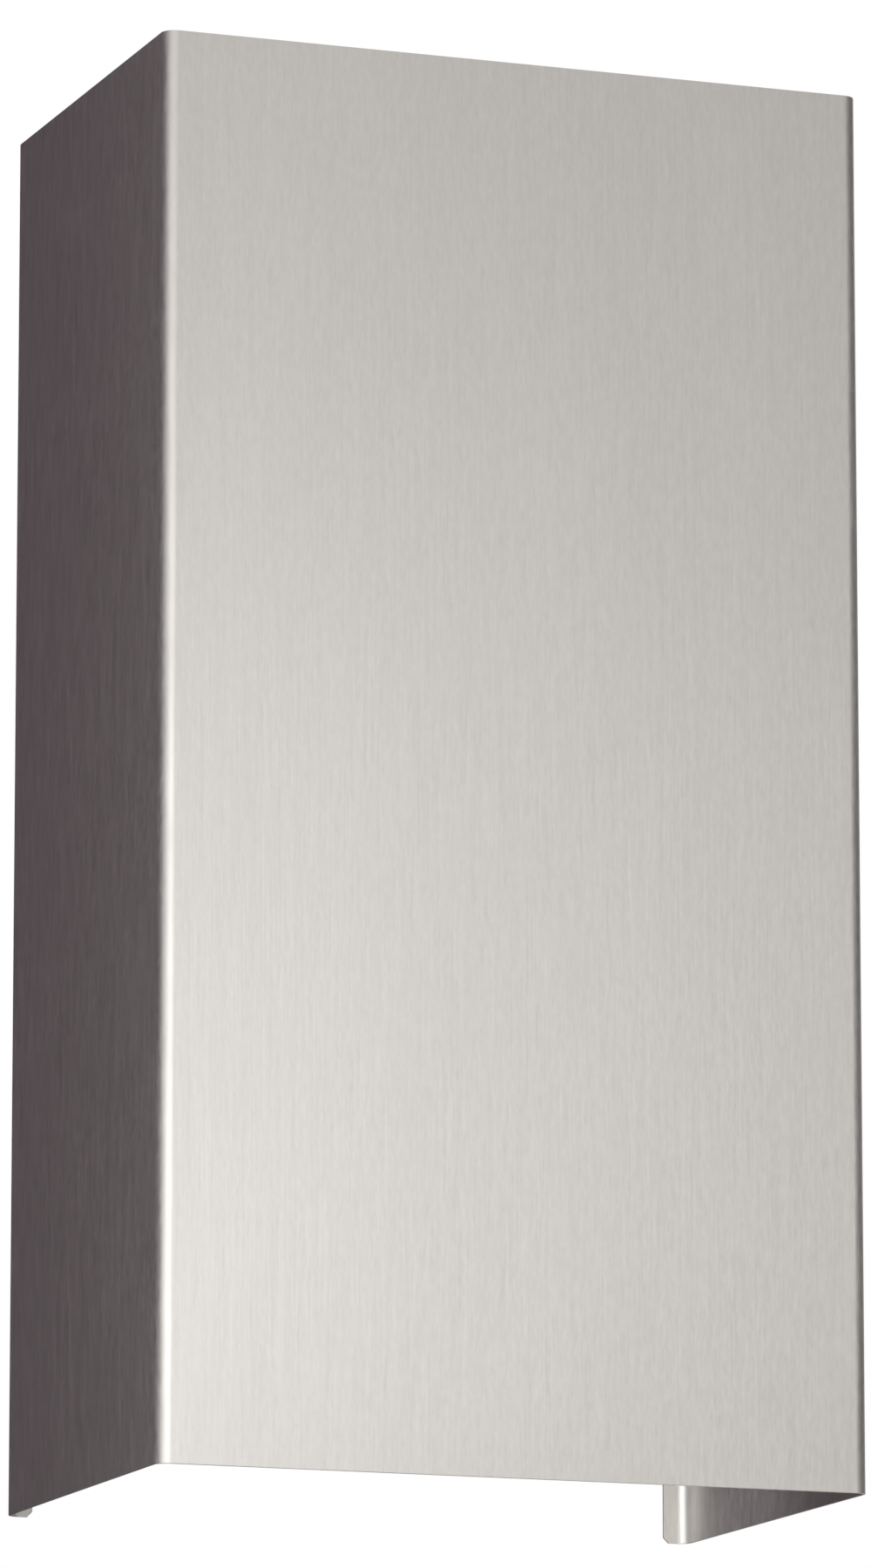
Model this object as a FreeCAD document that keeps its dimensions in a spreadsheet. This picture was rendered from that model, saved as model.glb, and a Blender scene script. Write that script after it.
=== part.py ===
"""Chimney section of a wall-mounted cooker hood: one stainless sheet, folded four times.

It makes a duct cover that is open at the back and at both ends. The origin is at the middle of the
footprint, on the lower edge. +Z runs up the chimney, +Y points at the wall and the front panel faces -Y.
All sizes are in millimetres.
"""

import FreeCAD
import Part
import Sketcher

import os

NODE = "chimney_sheet"
START, END, CENTRE = 1, 2, 3  # the points of a sketch line or arc
ORIGIN = -1  # the sketch's own origin point

DRIVING_SIZES = (
    ("chimney_width", 260, "across the outer faces of the two side panels"),
    ("chimney_depth", 170, "from the front panel to the wall"),
    ("chimney_height", 500, "from the lower edge to the upper edge"),
    ("sheet_thickness", 0.8, "stainless sheet"),
    ("bend_inside_radius", 4.2, "inside radius of all four folds"),
    ("return_width", 10, "return flange, from the side panel's outer face to its free edge"),
    ("corner_cut", 2, "chamfer on the free corners of the return flanges"),
)


def make_sizes(doc):
    """A spreadsheet that holds every driving dimension under its own name."""
    sizes = doc.addObject("Spreadsheet::Sheet", "Sizes")
    for row, (name, value, meaning) in enumerate(DRIVING_SIZES, start=1):
        sizes.set(f"A{row}", name)
        sizes.set(f"B{row}", str(value))
        sizes.set(f"C{row}", meaning)
        sizes.setAlias(f"B{row}", name)
    doc.recompute()
    return sizes


def origin_plane(body, role):
    return next(plane for plane in body.Origin.OriginFeatures if plane.Role == role)


class FoldedSection:
    """The sheet's cross-section: outer and inner lines of straights and bends, closed by two free edges."""

    # Left return, left side, front, right side and right return, in order along the sheet.
    DIRECTIONS = ("Horizontal", "Vertical", "Horizontal", "Vertical", "Horizontal")

    def __init__(self, sketch, sizes):
        self.sketch = sketch
        self.sizes = sizes
        self.outer_runs, self.outer_bends = self.draw_line(inset=0)
        self.inner_runs, self.inner_bends = self.draw_line(inset=sizes.sheet_thickness)
        self.free_edges = [self.draw_free_edge(side) for side in (0, -1)]
        self.constrain_shape()
        self.constrain_sizes()

    def corners(self, inset):
        """Where the straight runs would meet, with the two free ends first and last."""
        x = self.sizes.chimney_width / 2 - inset
        y = self.sizes.chimney_depth / 2 - inset
        free_x = self.sizes.chimney_width / 2 - self.sizes.return_width
        points = ((-free_x, y), (-x, y), (-x, -y), (x, -y), (x, y), (free_x, y))
        return [FreeCAD.Vector(px, py, 0) for px, py in points]

    def draw_line(self, inset):
        """Straight runs joined by arcs, at one distance inside the sheet's outer face."""
        radius = self.sizes.bend_inside_radius + self.sizes.sheet_thickness - inset
        corners = self.corners(inset)
        runs, bends = [], []
        for start, end in zip(corners, corners[1:]):
            along = (end - start).normalize()
            first = start if start is corners[0] else start + along * radius
            last = end if end is corners[-1] else end - along * radius
            runs.append(self.sketch.addGeometry(Part.LineSegment(first, last), False))
        for before, after in zip(runs, runs[1:]):
            bends.append(self.draw_bend(before, after, radius))
        return runs, bends

    def draw_bend(self, before, after, radius):
        """A quarter turn from the end of one run to the start of the next, both turning left."""
        first = self.sketch.Geometry[before].EndPoint
        last = self.sketch.Geometry[after].StartPoint
        along = (first - self.sketch.Geometry[before].StartPoint).normalize()
        inwards = FreeCAD.Vector(-along.y, along.x, 0)
        centre = first + inwards * radius
        middle = centre - (inwards - along).normalize() * radius
        return self.sketch.addGeometry(Part.Arc(first, middle, last), False)

    def draw_free_edge(self, side):
        """The sheet's own thickness, where a return flange ends."""
        point = "StartPoint" if side == 0 else "EndPoint"
        outer = getattr(self.sketch.Geometry[self.outer_runs[side]], point)
        inner = getattr(self.sketch.Geometry[self.inner_runs[side]], point)
        return self.sketch.addGeometry(Part.LineSegment(outer, inner), False)

    def constrain(self, *words):
        return self.sketch.addConstraint(Sketcher.Constraint(*words))

    def arc_point_at(self, bend, point):
        """Which end of an arc lies on a point, as an arc is stored anticlockwise however it was drawn."""
        arc = self.sketch.Geometry[bend]
        return START if arc.StartPoint.distanceToPoint(point) < arc.EndPoint.distanceToPoint(point) else END

    def constrain_shape(self):
        """Tangent bends, square runs, one radius a side, and inner bends about the outer bends' centres."""
        for runs, bends in ((self.outer_runs, self.outer_bends), (self.inner_runs, self.inner_bends)):
            for bend, before, after in zip(bends, runs, runs[1:]):
                first = self.sketch.Geometry[before].EndPoint
                last = self.sketch.Geometry[after].StartPoint
                self.constrain("Tangent", before, END, bend, self.arc_point_at(bend, first))
                self.constrain("Tangent", after, START, bend, self.arc_point_at(bend, last))
            for bend in bends[1:]:
                self.constrain("Equal", bends[0], bend)
        for run, direction in zip(self.outer_runs, self.DIRECTIONS):
            self.constrain(direction, run)
        for outer, inner in zip(self.outer_bends, self.inner_bends):
            self.constrain("Coincident", outer, CENTRE, inner, CENTRE)
        for edge, side, point in zip(self.free_edges, (0, -1), (START, END)):
            self.constrain("Coincident", edge, START, self.outer_runs[side], point)
            self.constrain("Coincident", edge, END, self.inner_runs[side], point)
            self.constrain("Vertical", edge)
            self.constrain("Horizontal", self.inner_runs[side])

    def bind(self, name, expression, *words):
        """A dimension that takes its value from the spreadsheet."""
        index = self.constrain(*words)
        self.sketch.renameConstraint(index, name)
        self.sketch.setExpression(f"Constraints.{name}", expression)

    def constrain_sizes(self):
        left, front, right = self.outer_runs[1:4]
        backs = (self.outer_runs[0], self.outer_runs[4])
        half_width = self.sizes.chimney_width / 2
        half_depth = self.sizes.chimney_depth / 2
        outer_radius = self.sizes.bend_inside_radius + self.sizes.sheet_thickness
        inner_radius = self.sizes.bend_inside_radius
        left_words = ("DistanceX", left, START, ORIGIN, START, half_width)
        right_words = ("DistanceX", ORIGIN, START, right, START, half_width)
        front_words = ("DistanceY", front, START, ORIGIN, START, half_depth)
        self.bind("left_side", "Sizes.chimney_width / 2", *left_words)
        self.bind("right_side", "Sizes.chimney_width / 2", *right_words)
        self.bind("front_panel", "Sizes.chimney_depth / 2", *front_words)
        for name, back in zip(("left_back", "right_back"), backs):
            self.bind(name, "Sizes.chimney_depth / 2", "DistanceY", ORIGIN, START, back, START, half_depth)
        outer_words = ("Radius", self.outer_bends[0], outer_radius)
        self.bind("outside_radius", "Sizes.bend_inside_radius + Sizes.sheet_thickness", *outer_words)
        self.bind("inside_radius", "Sizes.bend_inside_radius", "Radius", self.inner_bends[0], inner_radius)
        width = self.sizes.return_width
        left_edge, right_edge = self.free_edges
        self.bind("left_return", "Sizes.return_width", "DistanceX", left, START, left_edge, START, width)
        self.bind("right_return", "Sizes.return_width", "DistanceX", right_edge, START, right, START, width)


def free_corner_edges(shape, sizes):
    """The short edges through the sheet at both ends of each return flange's free edge."""
    free_x = sizes.chimney_width / 2 - sizes.return_width
    back_y = (sizes.chimney_depth - sizes.sheet_thickness) / 2
    wanted = [FreeCAD.Vector(x, back_y, z) for x in (-free_x, free_x) for z in (0, sizes.chimney_height)]
    near = sizes.sheet_thickness / 100
    return [
        f"Edge{number}"
        for number, edge in enumerate(shape.Edges, start=1)
        if any(edge.CenterOfMass.distanceToPoint(point) < near for point in wanted)
    ]


def make_chimney_sheet(doc, sizes):
    """The folded section drawn out to the chimney's height, with its four free corners cut off."""
    body = doc.addObject("PartDesign::Body", "ChimneySheet")
    body.Label = NODE
    sketch = body.newObject("Sketcher::SketchObject", "FoldedSection")
    sketch.AttachmentSupport = (origin_plane(body, "XY_Plane"), [""])
    sketch.MapMode = "FlatFace"
    FoldedSection(sketch, sizes)
    doc.recompute()
    if not sketch.FullyConstrained:
        raise RuntimeError("the folded section is not fully constrained")

    length = body.newObject("PartDesign::Pad", "SheetLength")
    length.Profile = sketch
    length.setExpression("Length", "Sizes.chimney_height")
    doc.recompute()

    corners = body.newObject("PartDesign::Chamfer", "FreeCorners")
    corners.Base = (length, free_corner_edges(length.Shape, sizes))
    corners.setExpression("Size", "Sizes.corner_cut")
    body.Tip = corners
    doc.recompute()
    return body


def check(doc, parts):
    """Stops if any object failed to recompute or a sub-part is not one valid closed solid."""
    for item in doc.Objects:
        if {"Invalid", "Error"} & set(item.State):
            raise RuntimeError(f"{item.Label} did not recompute: {item.State}")
    for part in parts:
        shape = part.Shape
        if shape.isNull() or not shape.isValid() or len(shape.Solids) != 1:
            raise RuntimeError(f"{part.Label} is not one valid solid")


def main():
    doc = FreeCAD.newDocument("ChimneySection")
    sizes = make_sizes(doc)
    parts = [make_chimney_sheet(doc, sizes)]
    check(doc, parts)
    os.makedirs("parts", exist_ok=True)
    for part in parts:
        part.Shape.exportStep(os.path.join("parts", f"{part.Label}.step"))
        box = part.Shape.BoundBox
        size = f"{box.XLength:.2f} x {box.YLength:.2f} x {box.ZLength:.2f} mm"
        print(f"{part.Label}: {part.Shape.Volume:.1f} mm3, {size}")


main()
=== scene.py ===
"""Dresses the chimney section of a wall-mounted cooker hood: its folded, brushed sheet and a plain studio.

Everything is in metres, in the part's own frame: +Z runs up the chimney, +Y points at the wall, and the
front panel faces -Y.
"""

import math

import bmesh
import bpy
from mathutils import Euler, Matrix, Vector


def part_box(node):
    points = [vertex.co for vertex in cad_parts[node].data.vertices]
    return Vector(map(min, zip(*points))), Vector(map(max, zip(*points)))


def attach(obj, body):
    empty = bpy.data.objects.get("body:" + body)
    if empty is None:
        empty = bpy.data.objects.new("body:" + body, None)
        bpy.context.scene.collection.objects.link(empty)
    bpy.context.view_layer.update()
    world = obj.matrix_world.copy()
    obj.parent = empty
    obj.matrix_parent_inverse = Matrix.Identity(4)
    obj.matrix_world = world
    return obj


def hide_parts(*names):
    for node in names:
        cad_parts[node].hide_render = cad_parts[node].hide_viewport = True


bl_info = {
    "name": "Chimney Section",
    "version": (1, 0, 0),
    "blender": (4, 5, 0),
    "location": "3D View > Sidebar > Chimney",
    "description": "Folds the brushed sheet of a chimney section and sets a plain studio round it",
    "category": "Add Mesh",
}

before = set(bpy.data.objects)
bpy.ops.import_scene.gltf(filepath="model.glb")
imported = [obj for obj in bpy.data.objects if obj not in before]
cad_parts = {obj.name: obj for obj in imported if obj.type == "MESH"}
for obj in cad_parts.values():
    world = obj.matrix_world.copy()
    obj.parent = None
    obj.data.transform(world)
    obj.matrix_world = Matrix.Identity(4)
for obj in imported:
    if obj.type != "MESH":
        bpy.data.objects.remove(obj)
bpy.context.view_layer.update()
SHEET_NODE = "chimney_sheet"
LOW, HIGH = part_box(SHEET_NODE)
MIDDLE = (LOW + HIGH) / 2

CUT_EDGE_ANGLE = math.radians(40)  # far more than the angle between two facets of a bend
SHARP_ANGLE = math.radians(20)  # faces that meet at less are shaded as one curve


class FoldedSheetSizes(bpy.types.PropertyGroup):
    """Sizes of the folded sheet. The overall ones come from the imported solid."""

    width: bpy.props.FloatProperty(
        name="Width",
        description="Across the outer faces of the side panels",
        default=HIGH.x - LOW.x,
        unit="LENGTH",
    )
    depth: bpy.props.FloatProperty(
        name="Depth",
        description="From the front panel to the wall",
        default=HIGH.y - LOW.y,
        unit="LENGTH",
    )
    height: bpy.props.FloatProperty(
        name="Height",
        description="From the lower edge to the upper edge",
        default=HIGH.z - LOW.z,
        unit="LENGTH",
    )
    thickness: bpy.props.FloatProperty(
        name="Thickness",
        description="Thickness of the sheet",
        default=0.0008,
        unit="LENGTH",
    )
    bend_radius: bpy.props.FloatProperty(
        name="Bend Radius",
        description="Outside radius of the folds",
        default=0.005,
        unit="LENGTH",
    )
    return_width: bpy.props.FloatProperty(
        name="Return Width",
        description="Overall width of the flanges at the back",
        default=0.010,
        unit="LENGTH",
    )
    corner_cut: bpy.props.FloatProperty(
        name="Corner Cut",
        description="Cut on the free corners of the return flanges",
        default=0.002,
        unit="LENGTH",
    )
    edge_break: bpy.props.FloatProperty(
        name="Edge Break",
        description="Rounding left on the cut edges by deburring",
        default=0.00015,
        unit="LENGTH",
    )
    bend_hold: bpy.props.FloatProperty(
        name="Bend Hold",
        description="Narrow strip that keeps the panels flat beside a bend",
        default=0.0004,
        unit="LENGTH",
    )
    bend_steps: bpy.props.IntProperty(
        name="Bend Steps",
        description="Facets round one fold",
        default=24,
        min=4,
    )


class BrushedSteelFinish(bpy.types.PropertyGroup):
    """Colour and grain of the brushed steel."""

    colour: bpy.props.FloatVectorProperty(
        name="Colour",
        description="Colour of the bare steel",
        default=(0.57, 0.54, 0.515),
        subtype="COLOR",
    )
    roughness: bpy.props.FloatProperty(
        name="Roughness",
        description="Mean roughness of the satin finish",
        default=0.41,
        subtype="FACTOR",
    )
    brushing: bpy.props.FloatProperty(
        name="Brushing",
        description="How much wider the gloss spreads across the grain",
        default=0.735,
        subtype="FACTOR",
    )
    grain: bpy.props.FloatProperty(
        name="Grain",
        description="Strength of the streaks of tone and gloss",
        default=1.0,
        subtype="FACTOR",
    )
    relief: bpy.props.FloatProperty(
        name="Relief",
        description="Depth of the brushed lines",
        default=0.000008,
        unit="LENGTH",
        precision=6,
    )


class StudioSetting(bpy.types.PropertyGroup):
    """Floor, screens, light and camera."""

    floor_colour: bpy.props.FloatVectorProperty(
        name="Floor Colour",
        description="Pale floor far below the hung section",
        default=(0.85, 0.85, 0.85),
        subtype="COLOR",
    )
    floor_drop: bpy.props.FloatProperty(
        name="Floor Drop",
        description="How far the floor lies below the lower edge",
        default=3.2,
        unit="LENGTH",
    )
    lamp_colour: bpy.props.FloatVectorProperty(
        name="Lamp Colour",
        description="Colour of the softboxes",
        default=(0.94, 0.985, 0.985),
        subtype="COLOR",
    )
    dark_flag_colour: bpy.props.FloatVectorProperty(
        name="Dark Flag Colour",
        description="Screen that the left panel mirrors",
        default=(0.175, 0.132, 0.161),
        subtype="COLOR",
    )
    grey_flag_colour: bpy.props.FloatVectorProperty(
        name="Grey Flag Colour",
        description="Screen that the right bend mirrors",
        default=(0.15, 0.15, 0.15),
        subtype="COLOR",
    )
    camera_place: bpy.props.FloatVectorProperty(
        name="Camera Place",
        description="Below the section, in front and to its left",
        default=(-1.119, -3.049, -0.373),
        subtype="TRANSLATION",
    )
    camera_rise: bpy.props.FloatProperty(
        name="Camera Rise",
        description="How far the camera looks up",
        default=math.radians(10.98),
        unit="ROTATION",
    )
    camera_turn: bpy.props.FloatProperty(
        name="Camera Turn",
        description="How far the camera turns to the right",
        default=math.radians(20.17),
        unit="ROTATION",
    )
    camera_lens: bpy.props.FloatProperty(
        name="Camera Lens",
        description="Focal length on a sensor 36 mm wide",
        default=213.8,
        unit="CAMERA",
    )


class Number:
    """A number in a shader: Python's operators on it add Math nodes."""

    def __init__(self, tree, socket):
        self.tree = tree
        self.socket = socket

    def combine(self, operation, first, second):
        node = self.tree.add("ShaderNodeMath", {"operation": operation}, {0: first, 1: second})
        return Number(self.tree, node.outputs[0])

    def __add__(self, other):
        return self.combine("ADD", self, other)

    def __radd__(self, other):
        return self.combine("ADD", other, self)

    def __sub__(self, other):
        return self.combine("SUBTRACT", self, other)

    def __rsub__(self, other):
        return self.combine("SUBTRACT", other, self)

    def __mul__(self, other):
        return self.combine("MULTIPLY", self, other)

    def __rmul__(self, other):
        return self.combine("MULTIPLY", other, self)


class ShaderTree:
    """Adds nodes to a material's or the world's tree and joins their sockets."""

    def __init__(self, owner):
        owner.use_nodes = True
        self.tree = owner.node_tree
        self.tree.nodes.clear()

    def add(self, kind, settings=None, sockets=None):
        """One node: its settings first, then a value or a link for each socket, by name or number."""
        node = self.tree.nodes.new(kind)
        for name, value in (settings or {}).items():
            setattr(node, name, value)
        for name, value in (sockets or {}).items():
            self.feed(node.inputs[name], value)
        return node

    def feed(self, socket, value):
        if isinstance(value, Number):
            self.tree.links.new(value.socket, socket)
        elif isinstance(value, bpy.types.NodeSocket):
            self.tree.links.new(value, socket)
        else:
            socket.default_value = value

    def number(self, kind, output, settings=None, sockets=None):
        return Number(self, self.add(kind, settings, sockets).outputs[output])


def brushed_steel(finish, sizes):
    """Satin stainless steel, brushed up and down: streaks of tone, gloss and relief that run along Z."""
    material = bpy.data.materials.new("brushed_steel")
    tree = ShaderTree(material)
    place = tree.add("ShaderNodeTexCoord").outputs["Object"]

    def streaks(width, length, detail):
        """Noise from -1 to 1 that is drawn out along the grain."""
        stretch = {0: place, 1: (1 / width, 1 / width, 1 / length)}
        along = tree.add("ShaderNodeVectorMath", {"operation": "MULTIPLY"}, stretch).outputs[0]
        sockets = {"Vector": along, "Scale": 1.0, "Detail": detail, "Roughness": 0.6}
        return tree.number("ShaderNodeTexNoise", "Fac", {"noise_dimensions": "3D"}, sockets) * 2 - 1

    def sideways():
        """1 on the side panels, which show the brushing more, falling to 0 over their bends."""
        across = tree.number("ShaderNodeSeparateXYZ", "X", sockets={"Vector": place})
        reach = sizes.width / 2
        limits = {"From Min": (reach - sizes.bend_radius) ** 2, "From Max": reach ** 2}
        return tree.number("ShaderNodeMapRange", "Result", sockets={"Value": across * across, **limits})

    hairlines = streaks(width=0.0013, length=0.0045, detail=1.5)
    scratches = streaks(width=0.0008, length=0.045, detail=1.0)
    bands = streaks(width=0.0045, length=0.05, detail=2.0)
    clouds = streaks(width=0.05, length=0.22, detail=2.0)
    side_streaks = sideways() * streaks(width=0.0034, length=0.016, detail=1.5)
    # Each factor below is how strongly one kind of streak shows.
    tone = 1 + finish.grain * (0.09 * hairlines + 0.035 * scratches + 0.022 * clouds + 0.17 * side_streaks)
    gloss = finish.grain * (0.06 * hairlines + 0.04 * bands)
    height = hairlines + 0.7 * scratches + 3.4 * bands
    colour = tree.add(
        "ShaderNodeMix",
        {"data_type": "RGBA", "blend_type": "MULTIPLY"},
        {"Factor": 1.0, "A": (*finish.colour, 1.0), "B": tone},
    )
    relief = tree.add(
        "ShaderNodeBump", sockets={"Strength": 1.0, "Distance": finish.relief, "Height": height}
    )
    shader = tree.add(
        "ShaderNodeBsdfPrincipled",
        sockets={
            "Base Color": colour.outputs["Result"],
            "Metallic": 1.0,
            "Roughness": finish.roughness + gloss,
            "Anisotropic": finish.brushing,
            "Normal": relief.outputs["Normal"],
        },
    )
    tree.add("ShaderNodeOutputMaterial", sockets={"Surface": shader.outputs[0]})
    return material


def plain(name, colour):
    """An even matt colour for the stage."""
    material = bpy.data.materials.new(name)
    tree = ShaderTree(material)
    sockets = {"Base Color": (*colour, 1.0), "Roughness": 1.0, "Specular IOR Level": 0.0}
    shader = tree.add("ShaderNodeBsdfPrincipled", sockets=sockets)
    tree.add("ShaderNodeOutputMaterial", sockets={"Surface": shader.outputs[0]})
    return material


def mesh_object(name, bm, material):
    """Turns a bmesh into an object at the origin, and frees it."""
    mesh = bpy.data.meshes.new(name)
    bm.to_mesh(mesh)
    bm.free()
    mesh.materials.append(material)
    piece = bpy.data.objects.new(name, mesh)
    bpy.context.scene.collection.objects.link(piece)
    return piece


def draw_run(bm, tip, heading, stretches):
    """Carries the end of a line straight on, one vertex for each stretch."""
    for stretch in stretches:
        new = bmesh.ops.extrude_vert_indiv(bm, verts=[tip])["verts"][0]
        bmesh.ops.translate(bm, verts=[new], vec=heading * stretch)
        tip = new
    return tip


def draw_bend(bm, tip, heading, radius, steps):
    """Turns the end of a line a quarter to the left, and gives its new end and heading."""
    inwards = Vector((-heading.y, heading.x, 0))
    turn = bmesh.ops.spin(
        bm, geom=[tip], cent=tip.co + inwards * radius, axis=(0, 0, 1), angle=math.pi / 2, steps=steps
    )
    ends = [item for item in turn["geom_last"] if isinstance(item, bmesh.types.BMVert)]
    return ends[0], inwards


def folded_line(bm, sizes):
    """The sheet's outer face seen from above, from one return flange's free edge round to the other's."""
    radius, hold = sizes.bend_radius, sizes.bend_hold
    returned = sizes.return_width - radius
    side = sizes.depth - 2 * radius
    front = sizes.width - 2 * radius
    heading = Vector((-1, 0, 0))
    tip = bm.verts.new((sizes.return_width - sizes.width / 2, sizes.depth / 2, 0))
    tip = draw_run(bm, tip, heading, (returned - hold, hold))
    for panel in (side, front, side):
        tip, heading = draw_bend(bm, tip, heading, radius, sizes.bend_steps)
        tip = draw_run(bm, tip, heading, (hold, panel - 2 * hold, hold))
    tip, heading = draw_bend(bm, tip, heading, radius, sizes.bend_steps)
    draw_run(bm, tip, heading, (hold, returned - hold))


def break_edges(bm, sizes):
    """Rounds the sheet's cut edges: the sharp ones that stay after the folds."""
    bmesh.ops.bevel(
        bm,
        geom=[edge for edge in bm.edges if edge.calc_face_angle(0) > CUT_EDGE_ANGLE],
        offset=sizes.edge_break,
        affect="EDGES",
        segments=2,
        profile=0.5,
        material=-1,
        clamp_overlap=True,
    )


def folded_sheet(sizes):
    """The whole sheet: the folded line drawn up to its height, its corners cut, then its thickness."""
    bm = bmesh.new()
    folded_line(bm, sizes)
    drawn = bmesh.ops.extrude_edge_only(bm, edges=bm.edges[:])["geom"]
    raised = [item for item in drawn if isinstance(item, bmesh.types.BMVert)]
    bmesh.ops.translate(bm, verts=raised, vec=(0, 0, sizes.height))
    corners = [vert for vert in bm.verts if len(vert.link_edges) == 2]
    bmesh.ops.bevel(
        bm, geom=corners, offset=sizes.corner_cut, affect="VERTICES", segments=1, profile=0.5, material=-1
    )
    bmesh.ops.recalc_face_normals(bm, faces=bm.faces[:])
    bmesh.ops.solidify(bm, geom=bm.faces[:], thickness=sizes.thickness)
    bmesh.ops.recalc_face_normals(bm, faces=bm.faces[:])
    break_edges(bm, sizes)
    for face in bm.faces:
        face.smooth = True
    for edge in bm.edges:
        edge.smooth = edge.calc_face_angle(0) < SHARP_ANGLE
    return bm


class CHIMNEY_OT_fold_sheet(bpy.types.Operator):
    """Fold the brushed sheet: front panel, side panels and return flanges in one piece"""

    bl_idname = "chimney.fold_sheet"
    bl_label = "Fold Sheet"

    def execute(self, context):
        sizes = context.scene.chimney_sheet
        steel = brushed_steel(context.scene.chimney_finish, sizes)
        sheet = mesh_object("folded_sheet", folded_sheet(sizes), steel)
        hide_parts(SHEET_NODE)
        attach(sheet, "root")
        return {"FINISHED"}


def around(azimuth, elevation, distance):
    """A place round the section's middle. Azimuth turns from the front (-Y) to the right, in degrees."""
    across = math.cos(math.radians(elevation)) * distance
    turn = math.radians(azimuth)
    rise = math.sin(math.radians(elevation)) * distance
    return Vector((math.sin(turn) * across, -math.cos(turn) * across, rise)) + MIDDLE


def white_surround():
    """A plain white world."""
    world = bpy.data.worlds.new("white_surround")
    bpy.context.scene.world = world
    tree = ShaderTree(world)
    white = tree.add("ShaderNodeBackground", sockets={"Color": (1, 1, 1, 1), "Strength": 1.0})
    tree.add("ShaderNodeOutputWorld", sockets={"Surface": white.outputs[0]})


def pale_floor(setting):
    """A round floor far below the section, which hangs as it does on its wall."""
    bm = bmesh.new()
    bmesh.ops.create_circle(bm, cap_ends=True, segments=128, radius=80)
    bmesh.ops.translate(bm, verts=bm.verts[:], vec=(0, 0, -setting.floor_drop))
    mesh_object("floor", bm, plain("floor", setting.floor_colour))


def flag(name, colour, distance, azimuths, heights):
    """A curved screen round the section, which the steel mirrors and the camera doesn't see."""
    first, last = azimuths
    foot, top = heights
    bm = bmesh.new()
    corner = bm.verts.new(Vector((*around(first, 0, distance).xy, foot)))
    draw_run(bm, corner, Vector((0, 0, 1)), (top - foot,))
    bmesh.ops.spin(
        bm, geom=bm.verts[:] + bm.edges[:], axis=(0, 0, 1), angle=math.radians(last - first), steps=24
    )
    screen = mesh_object(name, bm, plain(name, colour))
    screen.visible_camera = False


def flags(setting):
    """The dark screen that the left panel mirrors, and the grey one that the right bend mirrors."""
    flag(
        "left_flag",
        setting.dark_flag_colour,
        distance=0.4,
        azimuths=(-205, -66.5),
        heights=(-1.9, 1.6),
    )
    flag(
        "right_flag",
        setting.grey_flag_colour,
        distance=1.6,
        azimuths=(35, 112),
        heights=(-1.5, 1.6),
    )


def softbox(name, colour, radiance, place, size, target=MIDDLE, spread=math.pi):
    """A flat soft lamp that faces a point, as bright straight ahead whatever its spread is."""
    lamp = bpy.data.lights.new(name, "AREA")
    lamp.shape = "RECTANGLE"
    lamp.size, lamp.size_y = size
    lamp.color = colour
    lamp.spread = spread
    lamp.energy = math.pi * size[0] * size[1] * radiance * (1 - spread / 2 / math.tan(spread / 2))
    piece = bpy.data.objects.new(name, lamp)
    piece.location = place
    piece.rotation_euler = (target - place).to_track_quat("-Z", "Y").to_euler()
    piece.visible_camera = False
    bpy.context.scene.collection.objects.link(piece)


def front_softboxes(colour):
    """The soft light on the front panel and on the left bend."""
    softbox(
        "key_softbox",
        colour,
        radiance=2.6,
        place=around(azimuth=-10.5, elevation=5.5, distance=1.4),
        size=(0.58, 0.40),
    )
    softbox(
        "strip_softbox",
        colour,
        radiance=5.0,
        place=around(azimuth=-32.5, elevation=10, distance=1.25),
        size=(0.08, 0.58),
    )
    softbox(
        "low_softbox",
        colour,
        radiance=1.0,
        place=around(azimuth=-26, elevation=-17.5, distance=0.66),
        size=(0.65, 0.31),
    )


def flange_softboxes(colour):
    """Two small narrow lamps inside, which shine down at the lower ends of the return flanges."""
    softbox(
        "right_flange_softbox",
        colour,
        radiance=12.5,
        place=Vector((0.025, -0.015, 0.042)),
        size=(0.14, 0.06),
        target=Vector((0.100, HIGH.y, -0.035)),
        spread=math.radians(74),
    )
    softbox(
        "left_flange_softbox",
        colour,
        radiance=5.5,
        place=Vector((-0.085, -0.020, 0.042)),
        size=(0.06, 0.05),
        target=Vector((-0.12, HIGH.y, -0.035)),
        spread=math.radians(74),
    )


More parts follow.
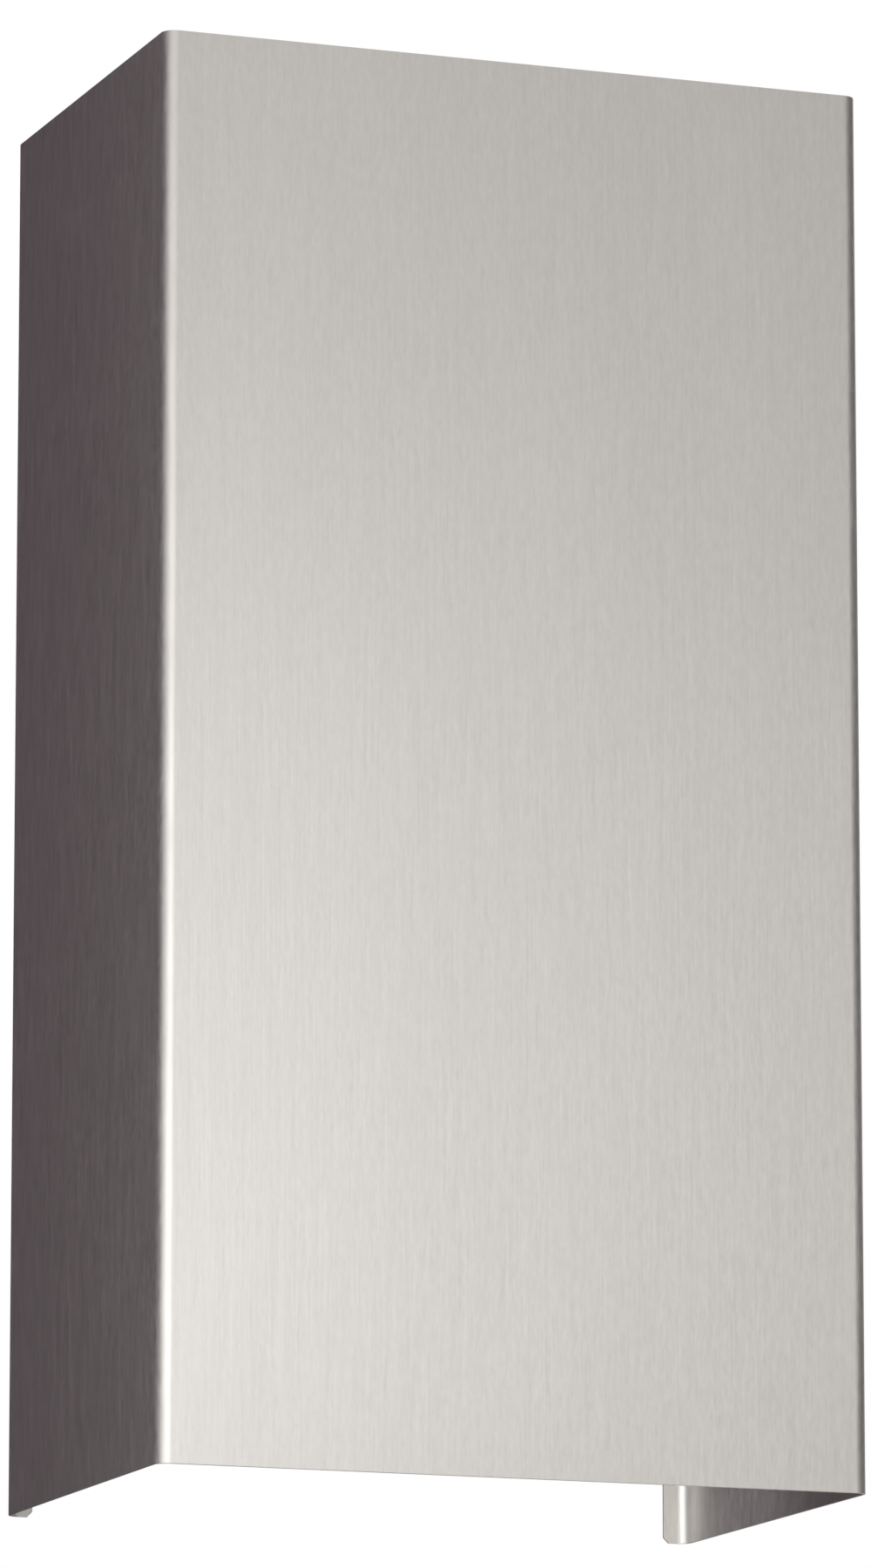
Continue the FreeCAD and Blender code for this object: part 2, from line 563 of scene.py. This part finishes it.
def camera_at_photo(setting):
    """Looks up at the section from below and from its left, as the photograph does."""
    data = bpy.data.cameras.new("camera")
    data.sensor_width = 36
    data.lens = setting.camera_lens
    data.clip_end = 60
    camera = bpy.data.objects.new("camera", data)
    camera.location = setting.camera_place
    camera.rotation_euler = Euler((math.pi / 2 + setting.camera_rise, 0, -setting.camera_turn))
    bpy.context.scene.collection.objects.link(camera)
    bpy.context.scene.camera = camera


class CHIMNEY_OT_set_studio(bpy.types.Operator):
    """Set the floor, the screens, the soft light and the camera"""

    bl_idname = "chimney.set_studio"
    bl_label = "Set Studio"

    def execute(self, context):
        setting = context.scene.chimney_studio
        white_surround()
        pale_floor(setting)
        flags(setting)
        front_softboxes(setting.lamp_colour)
        flange_softboxes(setting.lamp_colour)
        camera_at_photo(setting)
        context.scene.view_settings.view_transform = "Standard"
        return {"FINISHED"}


class CHIMNEY_PT_builder(bpy.types.Panel):
    """Sizes, finish and studio of the chimney section"""

    bl_idname = "CHIMNEY_PT_builder"
    bl_label = "Chimney Section"
    bl_space_type = "VIEW_3D"
    bl_region_type = "UI"
    bl_category = "Chimney"

    def draw(self, context):
        groups = (
            (CHIMNEY_OT_fold_sheet, (context.scene.chimney_sheet, context.scene.chimney_finish)),
            (CHIMNEY_OT_set_studio, (context.scene.chimney_studio,)),
        )
        for operator, settings in groups:
            box = self.layout.box()
            for group in settings:
                for name in group.__annotations__:
                    box.prop(group, name)
            box.operator(operator.bl_idname)


CLASSES = (
    FoldedSheetSizes,
    BrushedSteelFinish,
    StudioSetting,
    CHIMNEY_OT_fold_sheet,
    CHIMNEY_OT_set_studio,
    CHIMNEY_PT_builder,
)


def register():
    for cls in CLASSES:
        bpy.utils.register_class(cls)
    bpy.types.Scene.chimney_sheet = bpy.props.PointerProperty(type=FoldedSheetSizes)
    bpy.types.Scene.chimney_finish = bpy.props.PointerProperty(type=BrushedSteelFinish)
    bpy.types.Scene.chimney_studio = bpy.props.PointerProperty(type=StudioSetting)


def unregister():
    del bpy.types.Scene.chimney_studio
    del bpy.types.Scene.chimney_finish
    del bpy.types.Scene.chimney_sheet
    for cls in reversed(CLASSES):
        bpy.utils.unregister_class(cls)


def main():
    register()
    bpy.ops.chimney.fold_sheet()
    bpy.ops.chimney.set_studio()


if __name__ == "__main__":
    main()
